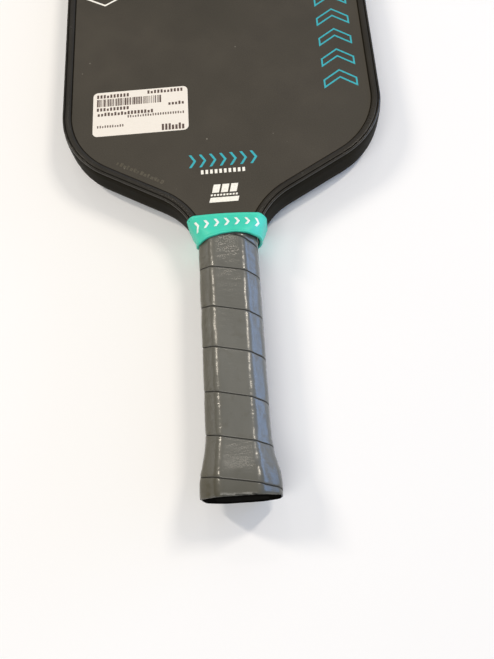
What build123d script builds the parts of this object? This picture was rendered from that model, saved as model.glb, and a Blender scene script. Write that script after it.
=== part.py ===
from build123d import *

import os
from math import asin, atan2, cos, degrees, radians, sin, sqrt, tan

# A pickleball paddle, elongated shape, in millimetres.
# The origin is the centre of the flat butt end. +Y runs up the handle to the tip of
# the head and +Z points out of the front hitting face. The panel's mid-plane is Z = 0.

# Whole paddle
PADDLE_LENGTH = 419.0
HEAD_WIDTH = 190.5
PANEL_THICKNESS = 16.0

# Head outline, measured on the panel's own edge, inside the edge guard
CORNER_RADIUS = 48.9
CORNER_TOP_Y = 228.7
SHOULDER_ANGLE = 30.0
NECK_HALF_WIDTH = 15.3
NECK_RADIUS = 41.4
TIP_CORNER_RADIUS = 46.0
TIP_CROWN_RADIUS = 420.0

# Layers of the panel
FACE_SHEET = 0.6
SCRIM = 0.2
FOAM_WIDTH = 11.0
FOAM_WIDTH_IN_TONGUE = 3.0
CELL_ACROSS_FLATS = 8.0
CELL_WALL = 0.8

# Tongue: the part of the panel that runs down inside the handle
TONGUE_HALF_WIDTH = 9.8
TONGUE_END_Y = 4.0
TONGUE_TOP_Y = 140.9

# Edge guard, a channel with a lip over each face
GUARD_WALL = 1.35
GUARD_LIP_REACH = 4.5
GUARD_LIP_THICKNESS = 1.07
GUARD_WALL_BULGE = 0.25
GUARD_START_Y = 141.2
GUARD_GROOVE_AT = 0.1
GUARD_GROOVE_WIDTH = 0.3
GUARD_GROOVE_DEPTH = 0.4
GUARD_EDGE_ROUND = 0.35
GUARD_BEAD_DROP = 0.03
GUARD_SHOULDER_DROP = 0.65
GUARD_TUCK_DEPTH = 0.25
GUARD_TUCK_HALF_WIDTH = 30.0
GUARD_TUCK_TOP_Y = 153.4
GUARD_TAPE = 0.25
GUARD_TAPE_WIDTH = 15.0

# Bare handle, an octagon with 45 degree bevels
HANDLE_HALF_WIDTH = 14.1
HANDLE_HALF_DEPTH = 12.7
HANDLE_BEVEL = 6.1
BEVEL_GROWTH = 2 - sqrt(2)
PALLET_TAPE = 0.15
PALLET_TAPE_WIDTH = 19.4
PALLET_TAPE_LENGTH = 124.0
PALLET_TAPER_START_Y = 140.4
PALLET_TOP_Y = 150.0
PALLET_TOP_Z = 8.6
PALLET_TOP_HALF_WIDTH = 11.3
POCKET_SIZE = 15.0
POCKET_DEPTH = 2.5
POCKET_PITCH = 18.0
POCKET_COUNT = 6
POCKET_CENTRE_Y = 85.0
POCKET_CORNER = 2.0

# Butt cap. Each flare station is a height above the butt and how far the cap's
# outside stands out from the bare handle there.
CAP_END_WALL = 3.0
CAP_TOP_Y = 29.0
CAP_SKIRT = 1.6
CAP_RIM_HEIGHT = 1.2
CAP_RIM_GROWTH = 5.0
CAP_RIM_CHAMFER = 0.4
CAP_FLARE = [
    (1.2, 3.55),
    (4.0, 3.7),
    (8.0, 3.7),
    (12.0, 3.25),
    (16.0, 2.4),
    (20.0, 1.45),
    (24.0, 0.65),
    (29.0, 0.0),
]
BADGE_WIDTH = 26.0
BADGE_HEIGHT = 20.0
BADGE_CORNER = 6.0
BADGE_RECESS = 0.8
BADGE_THICKNESS = 0.6

# Staples that pin the cap's skirt to the handle
STAPLE_Y = 20.0
STAPLE_CROWN_WIDTH = 10.0
STAPLE_WIRE_WIDTH = 1.2
STAPLE_WIRE = 0.5
STAPLE_CROWN_Z = 13.2
STAPLE_POINT_Z = 8.6
STAPLE_SLOT_TOP_Z = 16.0

# Grip wrap and the tape that finishes its end
WRAP_THICKNESS = 1.8
WRAP_TOP_Y = 140.2
FINISHING_TAPE = 0.18
FINISHING_TAPE_START_Y = 136.6

# Neck collar, a stretched sleeve. Each station is a height, then the half-width,
# half-depth and corner bevel of the collar's inside there.
COLLAR_WALL = 1.5
COLLAR_STATIONS = [(136.4, 16.4, 14.75, 4.2), (140.4, 17.85, 14.75, 4.4), (153.8, 22.9, 8.05, 0.2)]
COLLAR_SIDE_TOP_Y = 149.2
COLLAR_MIDDLE_TOP_Y = 152.8
COLLAR_ARC_HALF_WIDTH = 23.0
COLLAR_CUT_HALF_WIDTH = 30.0
COLLAR_CUT_TOP_Y = 158.0

# Price label
LABEL_WIDTH = 57.15
LABEL_HEIGHT = 31.75
LABEL_CORNER = 3.0
LABEL_THICKNESS = 0.1
LABEL_CENTRE_X = -47.7
LABEL_CENTRE_Y = 227.8

# Worked out from the above
PANEL_HALF = PANEL_THICKNESS / 2
CORE_HALF = PANEL_HALF - FACE_SHEET - SCRIM
EDGE_HALF_WIDTH = HEAD_WIDTH / 2 - GUARD_WALL
LIP_Z = PANEL_HALF + GUARD_LIP_THICKNESS
PALLET_SEAT_Z = PANEL_HALF + PALLET_TAPE

CORNER_CENTRE = Vector(EDGE_HALF_WIDTH - CORNER_RADIUS, CORNER_TOP_Y)
SHOULDER_RISE = tan(radians(SHOULDER_ANGLE))
SHOULDER_NORMAL = Vector(sin(radians(SHOULDER_ANGLE)), -cos(radians(SHOULDER_ANGLE)))
SHOULDER_OUTER_END = CORNER_CENTRE + SHOULDER_NORMAL * CORNER_RADIUS
NECK_CENTRE_X = NECK_HALF_WIDTH + NECK_RADIUS
SHOULDER_INNER_X = NECK_CENTRE_X - SHOULDER_NORMAL.X * NECK_RADIUS
SHOULDER_INNER_Y = SHOULDER_OUTER_END.Y - SHOULDER_RISE * (SHOULDER_OUTER_END.X - SHOULDER_INNER_X)
NECK_CENTRE = Vector(NECK_CENTRE_X, SHOULDER_INNER_Y + SHOULDER_NORMAL.Y * NECK_RADIUS)

TIP_Y = PADDLE_LENGTH - GUARD_WALL
CROWN_CENTRE = Vector(0, TIP_Y - TIP_CROWN_RADIUS)
TIP_CORNER_X = EDGE_HALF_WIDTH - TIP_CORNER_RADIUS
TIP_CORNER_RISE = sqrt((TIP_CROWN_RADIUS - TIP_CORNER_RADIUS) ** 2 - TIP_CORNER_X**2)
TIP_CORNER_CENTRE = Vector(TIP_CORNER_X, CROWN_CENTRE.Y + TIP_CORNER_RISE)
TIP_CORNER_SWEEP = degrees(atan2(TIP_CORNER_RISE, TIP_CORNER_X))

CELL_PITCH = CELL_ACROSS_FLATS + CELL_WALL
CELL_ROW = CELL_PITCH * sqrt(3) / 2
CELL_CORNER_REACH = CELL_ACROSS_FLATS / sqrt(3)


def head_edge(inset, neck_start):
    """The head's edge from one side of the neck round the tip to the other side.

    inset moves the whole edge inwards, and neck_start is the angle on the neck's arc
    where the edge begins. 180 is the narrowest place of the neck."""
    shoulder_end = SHOULDER_ANGLE + 90
    with BuildLine() as edge:
        neck = CenterArc(NECK_CENTRE, NECK_RADIUS + inset, neck_start, shoulder_end - neck_start)
        corner = CenterArc(CORNER_CENTRE, CORNER_RADIUS - inset, SHOULDER_ANGLE - 90, 90 - SHOULDER_ANGLE)
        Line(neck @ 1, corner @ 0)
        tip_corner = CenterArc(TIP_CORNER_CENTRE, TIP_CORNER_RADIUS - inset, 0, TIP_CORNER_SWEEP)
        Line(corner @ 1, tip_corner @ 0)
        CenterArc(CROWN_CENTRE, TIP_CROWN_RADIUS - inset, TIP_CORNER_SWEEP, 90 - TIP_CORNER_SWEEP)
        mirror(about=Plane.YZ)
    return edge.line


def neck_angle(height, inset):
    """The angle at which the neck's arc, moved in by inset, passes a height."""
    return 180 - degrees(asin((height - NECK_CENTRE.Y) / (NECK_RADIUS + inset)))


def neck_point(angle, inset):
    """A place on the neck's arc."""
    outwards = Vector(cos(radians(angle)), sin(radians(angle)))
    return NECK_CENTRE + outwards * (NECK_RADIUS + inset)


def paddle_outline(inset, tongue_half_width, tongue_end):
    """The head, with a ledge at its foot, and the tongue below it as one flat face."""
    neck_start = neck_angle(TONGUE_TOP_Y + inset, inset)
    neck = neck_point(neck_start, inset)
    corners = [
        (neck.X, neck.Y),
        (tongue_half_width, neck.Y),
        (tongue_half_width, tongue_end),
    ]
    left_corners = [(-x, y) for x, y in reversed(corners)]
    edge = head_edge(inset, neck_start)
    with BuildSketch() as outline:
        with BuildLine():
            add(edge)
            Polyline(*corners, *left_corners)
        make_face()
    return outline.sketch


def across_handle(height):
    """A plane square to the handle, with local X and Y along the paddle's X and Z."""
    return Plane.XZ.offset(-height)


def octagon(growth):
    """Corners of the handle's section, moved out by growth on every side."""
    return beveled_box(
        HANDLE_HALF_WIDTH + growth,
        HANDLE_HALF_DEPTH + growth,
        HANDLE_BEVEL + BEVEL_GROWTH * growth,
    )


def beveled_box(half_width, half_depth, bevel):
    """Eight corners of a box with its corners cut off at 45 degrees."""
    quarter = [(half_width, half_depth - bevel), (half_width - bevel, half_depth)]
    top = quarter + [(-x, y) for x, y in reversed(quarter)]
    return top + [(-x, -y) for x, y in top]


panel_outline = paddle_outline(0, TONGUE_HALF_WIDTH, TONGUE_END_Y)
core_outline = paddle_outline(
    FOAM_WIDTH,
    TONGUE_HALF_WIDTH - FOAM_WIDTH_IN_TONGUE,
    TONGUE_END_Y + FOAM_WIDTH_IN_TONGUE,
)
cell_limit = paddle_outline(
    FOAM_WIDTH + CELL_CORNER_REACH + CELL_WALL,
    TONGUE_HALF_WIDTH - FOAM_WIDTH_IN_TONGUE - CELL_CORNER_REACH - CELL_WALL,
    TONGUE_END_Y + FOAM_WIDTH_IN_TONGUE + CELL_CORNER_REACH + CELL_WALL,
).face()


def cell_centres():
    """Centres of the honeycomb cells that fit whole inside the core."""
    centres = []
    columns = int(EDGE_HALF_WIDTH / CELL_PITCH) + 1
    rows = int(PADDLE_LENGTH / CELL_ROW)
    for row in range(rows):
        stagger = CELL_PITCH / 2 * (row % 2)
        for column in range(-columns, columns + 1):
            centre = Vector(column * CELL_PITCH + stagger, row * CELL_ROW)
            if cell_limit.is_inside(centre):
                centres.append(centre)
    return centres


# Panel: honeycomb core, foam round its edge, a scrim and a face sheet on each side
with BuildPart() as honeycomb_core:
    with BuildSketch(Plane.XY.offset(-CORE_HALF)):
        add(core_outline)
        with Locations(*cell_centres()):
            RegularPolygon(CELL_ACROSS_FLATS / 2, 6, major_radius=False, rotation=30, mode=Mode.SUBTRACT)
    extrude(amount=2 * CORE_HALF)

with BuildPart() as perimeter_foam:
    with BuildSketch(Plane.XY.offset(-CORE_HALF)):
        add(panel_outline)
        add(core_outline, mode=Mode.SUBTRACT)
    extrude(amount=2 * CORE_HALF)

with BuildPart() as front_scrim:
    with BuildSketch(Plane.XY.offset(CORE_HALF)):
        add(panel_outline)
    extrude(amount=SCRIM)

with BuildPart() as back_scrim:
    mirror(front_scrim.part, about=Plane.XY)

with BuildPart() as front_face:
    with BuildSketch(Plane.XY.offset(CORE_HALF + SCRIM)):
        add(panel_outline)
    extrude(amount=FACE_SHEET)

with BuildPart() as back_face:
    mirror(front_face.part, about=Plane.XY)

# Edge guard: one channel bent round the head, with a strip of tape inside its wall.
# Its profile is drawn looking along the edge, local X outwards and local Y along Z.
guard_start_angle = neck_angle(GUARD_START_Y, 0)
guard_path = head_edge(0, guard_start_angle)
guard_start = neck_point(guard_start_angle, 0)
guard_outward = (NECK_CENTRE - guard_start).normalized()
guard_plane = Plane(origin=guard_start, x_dir=guard_outward, z_dir=guard_outward.rotate(Axis.Z, -90))

with BuildPart() as guard_tape:
    with BuildSketch(guard_plane):
        Rectangle(GUARD_TAPE, GUARD_TAPE_WIDTH, align=(Align.MIN, Align.CENTER))
    sweep(path=guard_path)

groove_end = GUARD_GROOVE_AT + GUARD_GROOVE_WIDTH
bead_z = LIP_Z - GUARD_BEAD_DROP
shoulder_x = GUARD_WALL - GUARD_WALL_BULGE
shoulder_z = LIP_Z - GUARD_SHOULDER_DROP
with BuildPart() as edge_guard:
    with BuildSketch(guard_plane):
        with BuildLine():
            Polyline(
                (GUARD_TAPE, 0),
                (GUARD_TAPE, PANEL_HALF),
                (-GUARD_LIP_REACH, PANEL_HALF),
                (-GUARD_LIP_REACH, LIP_Z - GUARD_EDGE_ROUND),
                (-GUARD_LIP_REACH + GUARD_EDGE_ROUND, LIP_Z),
                (GUARD_GROOVE_AT, LIP_Z),
                (GUARD_GROOVE_AT, LIP_Z - GUARD_GROOVE_DEPTH),
                (groove_end, LIP_Z - GUARD_GROOVE_DEPTH),
            )
            ThreePointArc(
                (groove_end, LIP_Z - GUARD_GROOVE_DEPTH),
                ((groove_end + shoulder_x) / 2, bead_z),
                (shoulder_x, shoulder_z),
            )
            mirror(about=Plane.XZ)
            ThreePointArc((shoulder_x, shoulder_z), (GUARD_WALL, 0), (shoulder_x, -shoulder_z))
        make_face()
    sweep(path=guard_path)
    # The lips are shaved thinner where the collar covers their ends
    with BuildSketch(Plane.XY.offset(LIP_Z - GUARD_TUCK_DEPTH)):
        with Locations((0, GUARD_TUCK_TOP_Y)):
            Rectangle(
                2 * GUARD_TUCK_HALF_WIDTH,
                GUARD_TUCK_TOP_Y - TONGUE_TOP_Y,
                align=(Align.CENTER, Align.MAX),
            )
    shaved = extrude(amount=GUARD_TUCK_DEPTH, mode=Mode.SUBTRACT)
    mirror(shaved, about=Plane.XY, mode=Mode.SUBTRACT)

# Handle: two half shells over the tongue, each on a strip of tape
with BuildPart() as staples:
    with BuildSketch(Plane.XY.offset(STAPLE_POINT_Z)):
        with Locations((0, STAPLE_Y)):
            Rectangle(STAPLE_CROWN_WIDTH, STAPLE_WIRE_WIDTH)
            Rectangle(STAPLE_CROWN_WIDTH - 2 * STAPLE_WIRE, STAPLE_WIRE_WIDTH, mode=Mode.SUBTRACT)
    extrude(amount=STAPLE_CROWN_Z - STAPLE_POINT_Z)
    with BuildSketch(Plane.XY.offset(STAPLE_CROWN_Z)):
        with Locations((0, STAPLE_Y)):
            Rectangle(STAPLE_CROWN_WIDTH, STAPLE_WIRE_WIDTH)
    extrude(amount=STAPLE_WIRE)
    mirror(about=Plane.XY)

with BuildPart() as handle_pallet_front:
    with BuildSketch(across_handle(CAP_END_WALL)):
        Polygon(*octagon(-CAP_SKIRT), align=None)
    extrude(amount=CAP_END_WALL - CAP_TOP_Y)
    with BuildSketch(across_handle(CAP_TOP_Y)):
        Polygon(*octagon(0), align=None)
    extrude(amount=CAP_TOP_Y - PALLET_TOP_Y)
    split(bisect_by=Plane.XY, keep=Keep.TOP)
    with BuildSketch(Plane.YZ):
        Polygon(
            (PALLET_TAPER_START_Y, HANDLE_HALF_DEPTH),
            (PALLET_TOP_Y, PALLET_TOP_Z),
            (PALLET_TOP_Y, HANDLE_HALF_DEPTH),
            align=None,
        )
    extrude(amount=HANDLE_HALF_WIDTH, both=True, mode=Mode.SUBTRACT)
    with BuildSketch(Plane.XY):
        with Locations((0, CAP_END_WALL)):
            Rectangle(
                2 * TONGUE_HALF_WIDTH,
                PALLET_TOP_Y - CAP_END_WALL,
                align=(Align.CENTER, Align.MIN),
            )
        with Locations((0, PALLET_TAPER_START_Y)):
            Rectangle(
                2 * HANDLE_HALF_WIDTH,
                PALLET_TOP_Y - PALLET_TAPER_START_Y,
                align=(Align.CENTER, Align.MIN),
            )
    extrude(amount=PALLET_SEAT_Z, mode=Mode.SUBTRACT)
    with BuildSketch(Plane.XY):
        with Locations((0, PALLET_TAPER_START_Y)):
            Rectangle(
                2 * HANDLE_HALF_WIDTH,
                PALLET_TOP_Y - PALLET_TAPER_START_Y,
                align=(Align.CENTER, Align.MIN),
            )
            Rectangle(
                2 * PALLET_TOP_HALF_WIDTH,
                PALLET_TOP_Y - PALLET_TAPER_START_Y,
                align=(Align.CENTER, Align.MIN),
                mode=Mode.SUBTRACT,
            )
    extrude(amount=HANDLE_HALF_DEPTH, mode=Mode.SUBTRACT)
    with BuildSketch(Plane.XY.offset(PALLET_SEAT_Z)):
        with Locations((0, POCKET_CENTRE_Y)):
            with GridLocations(POCKET_PITCH, POCKET_PITCH, 1, POCKET_COUNT):
                RectangleRounded(POCKET_SIZE, POCKET_SIZE, POCKET_CORNER)
    extrude(amount=POCKET_DEPTH, mode=Mode.SUBTRACT)
    add(staples.part, mode=Mode.SUBTRACT)

with BuildPart() as handle_pallet_back:
    mirror(handle_pallet_front.part, about=Plane.XY)

with BuildPart() as pallet_tape_front:
    with BuildSketch(Plane.XY.offset(PANEL_HALF)):
        with Locations((0, TONGUE_END_Y)):
            Rectangle(PALLET_TAPE_WIDTH, PALLET_TAPE_LENGTH, align=(Align.CENTER, Align.MIN))
    extrude(amount=PALLET_TAPE)

with BuildPart() as pallet_tape_back:
    mirror(pallet_tape_front.part, about=Plane.XY)

# Butt cap: a flared cup over the end of the handle, with a rim that the wrap starts from
with BuildPart() as butt_cap:
    with BuildSketch(across_handle(0)):
        Polygon(*octagon(CAP_RIM_GROWTH), align=None)
    extrude(amount=-CAP_RIM_HEIGHT)
    chamfer(butt_cap.faces().sort_by(Axis.Y)[0].edges(), CAP_RIM_CHAMFER)
    for height, growth in CAP_FLARE:
        with BuildSketch(across_handle(height)):
            Polygon(*octagon(growth), align=None)
    loft(ruled=True)
    with BuildSketch(across_handle(CAP_END_WALL)):
        Polygon(*octagon(-CAP_SKIRT), align=None)
    extrude(amount=CAP_END_WALL - CAP_TOP_Y, mode=Mode.SUBTRACT)
    with BuildSketch(across_handle(0)):
        RectangleRounded(BADGE_WIDTH, BADGE_HEIGHT, BADGE_CORNER)
    extrude(amount=-BADGE_RECESS, mode=Mode.SUBTRACT)
    with BuildSketch(Plane.XY.offset(STAPLE_CROWN_Z)):
        with Locations((0, STAPLE_Y)):
            Rectangle(STAPLE_CROWN_WIDTH, STAPLE_WIRE_WIDTH)
    extrude(amount=STAPLE_SLOT_TOP_Z - STAPLE_CROWN_Z, mode=Mode.SUBTRACT)
    with BuildSketch(Plane.XY.offset(-STAPLE_CROWN_Z)):
        with Locations((0, STAPLE_Y)):
            Rectangle(STAPLE_CROWN_WIDTH, STAPLE_WIRE_WIDTH)
    extrude(amount=STAPLE_CROWN_Z - STAPLE_SLOT_TOP_Z, mode=Mode.SUBTRACT)
    add(staples.part, mode=Mode.SUBTRACT)

with BuildPart() as butt_badge:
    with BuildSketch(across_handle(BADGE_RECESS - BADGE_THICKNESS)):
        RectangleRounded(BADGE_WIDTH, BADGE_HEIGHT, BADGE_CORNER)
    extrude(amount=-BADGE_THICKNESS)

# Grip wrap, the finishing tape over its top end, and the collar over both
with BuildPart() as grip_wrap:
    for height, growth in CAP_FLARE + [(WRAP_TOP_Y, 0)]:
        with BuildSketch(across_handle(height)):
            Polygon(*octagon(growth + WRAP_THICKNESS), align=None)
            Polygon(*octagon(growth), align=None, mode=Mode.SUBTRACT)
    loft(ruled=True)

with BuildPart() as finishing_tape:
    with BuildSketch(across_handle(FINISHING_TAPE_START_Y)):
        Polygon(*octagon(WRAP_THICKNESS + FINISHING_TAPE), align=None)
        Polygon(*octagon(WRAP_THICKNESS), align=None, mode=Mode.SUBTRACT)
    extrude(amount=FINISHING_TAPE_START_Y - WRAP_TOP_Y)

with BuildPart() as neck_collar:
    for height, half_width, half_depth, bevel in COLLAR_STATIONS:
        with BuildSketch(across_handle(height)):
            outer_bevel = bevel + BEVEL_GROWTH * COLLAR_WALL
            Polygon(
                *beveled_box(half_width + COLLAR_WALL, half_depth + COLLAR_WALL, outer_bevel),
                align=None,
            )
    loft(ruled=True)
    for height, half_width, half_depth, bevel in COLLAR_STATIONS:
        with BuildSketch(across_handle(height)):
            Polygon(*beveled_box(half_width, half_depth, bevel), align=None)
    loft(ruled=True, mode=Mode.SUBTRACT)
    with BuildSketch(Plane.XY):
        with BuildLine():
            ThreePointArc(
                (-COLLAR_ARC_HALF_WIDTH, COLLAR_SIDE_TOP_Y),
                (0, COLLAR_MIDDLE_TOP_Y),
                (COLLAR_ARC_HALF_WIDTH, COLLAR_SIDE_TOP_Y),
            )
            Polyline(
                (COLLAR_ARC_HALF_WIDTH, COLLAR_SIDE_TOP_Y),
                (COLLAR_CUT_HALF_WIDTH, COLLAR_SIDE_TOP_Y),
                (COLLAR_CUT_HALF_WIDTH, COLLAR_CUT_TOP_Y),
                (-COLLAR_CUT_HALF_WIDTH, COLLAR_CUT_TOP_Y),
                (-COLLAR_CUT_HALF_WIDTH, COLLAR_SIDE_TOP_Y),
                (-COLLAR_ARC_HALF_WIDTH, COLLAR_SIDE_TOP_Y),
            )
        make_face()
    extrude(amount=COLLAR_CUT_HALF_WIDTH, both=True, mode=Mode.SUBTRACT)

# Price label on the front face
with BuildPart() as price_label:
    with BuildSketch(Plane.XY.offset(PANEL_HALF)):
        with Locations((LABEL_CENTRE_X, LABEL_CENTRE_Y)):
            RectangleRounded(LABEL_WIDTH, LABEL_HEIGHT, LABEL_CORNER)
    extrude(amount=LABEL_THICKNESS)

pieces = {
    "honeycomb_core": honeycomb_core,
    "perimeter_foam": perimeter_foam,
    "front_scrim": front_scrim,
    "back_scrim": back_scrim,
    "front_face": front_face,
    "back_face": back_face,
    "guard_tape": guard_tape,
    "edge_guard": edge_guard,
    "handle_pallet_front": handle_pallet_front,
    "handle_pallet_back": handle_pallet_back,
    "pallet_tape_front": pallet_tape_front,
    "pallet_tape_back": pallet_tape_back,
    "butt_cap": butt_cap,
    "butt_cap_staples": staples,
    "butt_badge": butt_badge,
    "grip_wrap": grip_wrap,
    "finishing_tape": finishing_tape,
    "neck_collar": neck_collar,
    "price_label": price_label,
}

os.makedirs("parts", exist_ok=True)
for name, piece in pieces.items():
    piece.part.label = name
    export_step(piece.part, f"parts/{name}.step")
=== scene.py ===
import math
import random

import bmesh
import bpy
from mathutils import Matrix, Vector, noise


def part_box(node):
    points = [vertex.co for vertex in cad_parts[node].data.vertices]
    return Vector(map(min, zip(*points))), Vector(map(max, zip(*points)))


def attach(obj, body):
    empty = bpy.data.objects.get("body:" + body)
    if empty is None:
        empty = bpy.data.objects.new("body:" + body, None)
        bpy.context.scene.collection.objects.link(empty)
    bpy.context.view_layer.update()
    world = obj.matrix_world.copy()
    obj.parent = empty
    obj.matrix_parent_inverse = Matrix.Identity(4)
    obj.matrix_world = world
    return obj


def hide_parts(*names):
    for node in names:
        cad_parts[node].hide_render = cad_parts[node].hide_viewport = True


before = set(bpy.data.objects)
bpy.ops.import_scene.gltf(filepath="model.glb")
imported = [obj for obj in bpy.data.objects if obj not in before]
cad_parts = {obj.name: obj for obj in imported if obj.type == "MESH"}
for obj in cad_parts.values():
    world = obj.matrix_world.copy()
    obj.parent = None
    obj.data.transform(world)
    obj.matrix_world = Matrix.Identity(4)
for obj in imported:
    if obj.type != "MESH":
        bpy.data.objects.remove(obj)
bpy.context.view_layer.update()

MM = 0.001

# Points closer than this are one point
SAME_PLACE = 1e-7

# The head's edge, as in the CAD model: the panel's own outline, inside the guard
GUARD_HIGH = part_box("edge_guard")[1]
GUARD_WALL = 1.35 * MM
EDGE_HALF_WIDTH = GUARD_HIGH.x - GUARD_WALL
TIP_Y = GUARD_HIGH.y - GUARD_WALL
GUARD_END_Y = 141.2 * MM
CORNER_RADIUS = 48.9 * MM
CORNER_TOP_Y = 228.7 * MM
SHOULDER_ANGLE = math.radians(30)
NECK_HALF_WIDTH = 15.3 * MM
NECK_RADIUS = 41.4 * MM
TIP_CORNER_RADIUS = 46.0 * MM
TIP_CROWN_RADIUS = 420.0 * MM

FACE_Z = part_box("front_face")[1].z
LIP_Z = GUARD_HIGH.z
LIP_REACH = 4.5 * MM
# Faces lower than SEAT_HEIGHT above the face take the guard's darker wall skin: a painted shadow
# line along the lip's inner edge
SEAT_HEIGHT = 0.32 * MM
GUARD_STEP = 2.2 * MM

# The handle's bevelled section, without and with the wrap
BARE_HALF_WIDTH = 14.1 * MM
BARE_HALF_DEPTH = 12.7 * MM
BARE_BEVEL = 6.1 * MM
BEVEL_GROWTH = 2 - math.sqrt(2)
CORNER_ROUND = 6.0 * MM
WRAP_THICKNESS = 1.8 * MM
WRAP_TOP_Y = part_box("grip_wrap")[1].y

# The tape over the wrap's top end covers its cut edge, and stands above its uneven skin
TAPE_SHIFT = 0.4 * MM
TAPE_LOW_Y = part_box("finishing_tape")[0].y + TAPE_SHIFT
TAPE_HIGH_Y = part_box("finishing_tape")[1].y + TAPE_SHIFT
TAPE_LIFT = 0.42 * MM
TAPE_EDGE = 0.1 * MM

# The butt cap's end, skirt and recess for the badge
CAP_TOP_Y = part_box("butt_cap")[1].y
CAP_END_WALL = 3.0 * MM
CAP_SKIRT = 1.6 * MM
CAP_RIM_ROUND = 0.8 * MM
CAP_RIM_HEIGHT = 1.3 * MM
CAP_RIM_INSET = 0.25 * MM
CAP_CLEARANCE = 0.1 * MM
BADGE_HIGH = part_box("butt_badge")[1]
BADGE_CORNER = 6.0 * MM
BADGE_GAP = 0.05 * MM

# The sticker's face, and how far printed ink stands above a surface and reaches into it
LABEL_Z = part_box("price_label")[1].z
INK = 0.03 * MM
INK_ROOT = 0.02 * MM


# ------------------------ materials

def new_material(name):
    """A material with its Principled shader, ready for more nodes."""
    material = bpy.data.materials.new(name)
    material.use_nodes = True
    tree = material.node_tree
    shader = tree.nodes["Principled BSDF"]
    return material, tree, shader


def node(tree, kind, inputs=(), **settings):
    """A node with some inputs set, each to a value or to another node's output."""
    made = tree.nodes.new(kind)
    for key, value in settings.items():
        setattr(made, key, value)
    for key, value in dict(inputs).items():
        if isinstance(value, bpy.types.NodeSocket):
            tree.links.new(value, made.inputs[key])
        else:
            made.inputs[key].default_value = value
    return made


def rgba(red, green, blue):
    """A linear colour from sRGB values between 0 and 255."""
    def linear(v):
        v /= 255
        return v / 12.92 if v <= 0.04045 else ((v + 0.055) / 1.055) ** 2.4
    return (linear(red), linear(green), linear(blue), 1)


def object_coordinates(tree, stretch=(1, 1, 1)):
    """Positions on the object in metres, optionally stretched along an axis."""
    place = node(tree, "ShaderNodeTexCoord")
    return node(
        tree, "ShaderNodeMapping", {"Vector": place.outputs["Object"], "Scale": stretch}
    ).outputs["Vector"]


def noise_at(tree, where, scale, detail=4.0, rough=0.5):
    return node(
        tree,
        "ShaderNodeTexNoise",
        {"Vector": where, "Scale": scale, "Detail": detail, "Roughness": rough},
    ).outputs["Fac"]


def spread(tree, value, low, high, to_low, to_high):
    """Value remapped from low..high to to_low..to_high, with its ends held."""
    return node(
        tree,
        "ShaderNodeMapRange",
        {"Value": value, "From Min": low, "From Max": high, "To Min": to_low, "To Max": to_high},
    ).outputs["Result"]


def blend_colours(tree, amount, first, second):
    mix = node(tree, "ShaderNodeMix", data_type="RGBA")
    for socket, value in (("Factor_Float", amount), ("A_Color", first), ("B_Color", second)):
        target = next(i for i in mix.inputs if i.identifier == socket)
        if isinstance(value, bpy.types.NodeSocket):
            tree.links.new(value, target)
        else:
            target.default_value = value
    return next(o for o in mix.outputs if o.identifier == "Result_Color")


def add_bump(tree, shader, layers):
    """Stacked bumps, each a height output, a strength and a depth in metres."""
    normal = None
    for height, strength, depth in layers:
        inputs = {"Height": height, "Strength": strength, "Distance": depth}
        if normal:
            inputs["Normal"] = normal
        normal = node(tree, "ShaderNodeBump", inputs).outputs["Normal"]
    tree.links.new(normal, shader.inputs["Normal"])


def face_sheet_material():
    """Dark warm-grey coated face: a fine peel-ply weave, faint mottling and a few specks."""
    material, tree, shader = new_material("face_grit")
    where = object_coordinates(tree)
    mottle = noise_at(tree, where, 45, 5, 0.6)
    drift = noise_at(tree, where, 16, 3)
    base = blend_colours(
        tree, spread(tree, mottle, 0.35, 0.65, 0, 1), rgba(56, 51, 43), rgba(63, 58, 49)
    )
    drifted = blend_colours(tree, spread(tree, drift, 0.4, 0.65, 0, 0.7), base, rgba(50, 46, 37))
    speck_cells = node(tree, "ShaderNodeTexVoronoi", {"Vector": where, "Scale": 130})
    speck = spread(tree, speck_cells.outputs["Distance"], 0.03, 0.075, 1, 0)
    speck_choice = spread(tree, noise_at(tree, where, 60, 1), 0.56, 0.64, 0, 0.6)
    speck_amount = node(
        tree, "ShaderNodeMath", {0: speck, 1: speck_choice}, operation="MULTIPLY"
    ).outputs[0]
    grit = noise_at(tree, where, 1500, 2, 0.6)
    peppered = blend_colours(tree, spread(tree, grit, 0.4, 0.7, 0, 0.3), drifted, rgba(78, 74, 63))
    colour = blend_colours(tree, speck_amount, peppered, rgba(165, 160, 148))
    tree.links.new(colour, shader.inputs["Base Color"])
    weave = node(
        tree,
        "ShaderNodeTexWave",
        {"Vector": where, "Scale": 420, "Distortion": 0.6, "Detail": 1},
        bands_direction="DIAGONAL",
    ).outputs["Fac"]
    tree.links.new(spread(tree, mottle, 0.3, 0.7, 0.52, 0.62), shader.inputs["Roughness"])
    shader.inputs["Specular IOR Level"].default_value = 0.45
    add_bump(tree, shader, [(weave, 0.15, 0.00005), (grit, 0.3, 0.00006)])
    return material


def guard_material(name, dark, light, roughness, specular):
    """Black moulded plastic with a very fine grain and rubbed, slightly paler places."""
    material, tree, shader = new_material(name)
    where = object_coordinates(tree)
    rub = noise_at(tree, where, 38, 6, 0.65)
    colour = blend_colours(tree, spread(tree, rub, 0.4, 0.75, 0, 1), dark, light)
    tree.links.new(colour, shader.inputs["Base Color"])
    tree.links.new(
        spread(tree, rub, 0.3, 0.7, roughness - 0.04, roughness + 0.08),
        shader.inputs["Roughness"],
    )
    shader.inputs["Specular IOR Level"].default_value = specular
    grain = noise_at(tree, where, 1500, 3)
    add_bump(tree, shader, [(grain, 0.12, 0.00006)])
    return material


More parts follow.
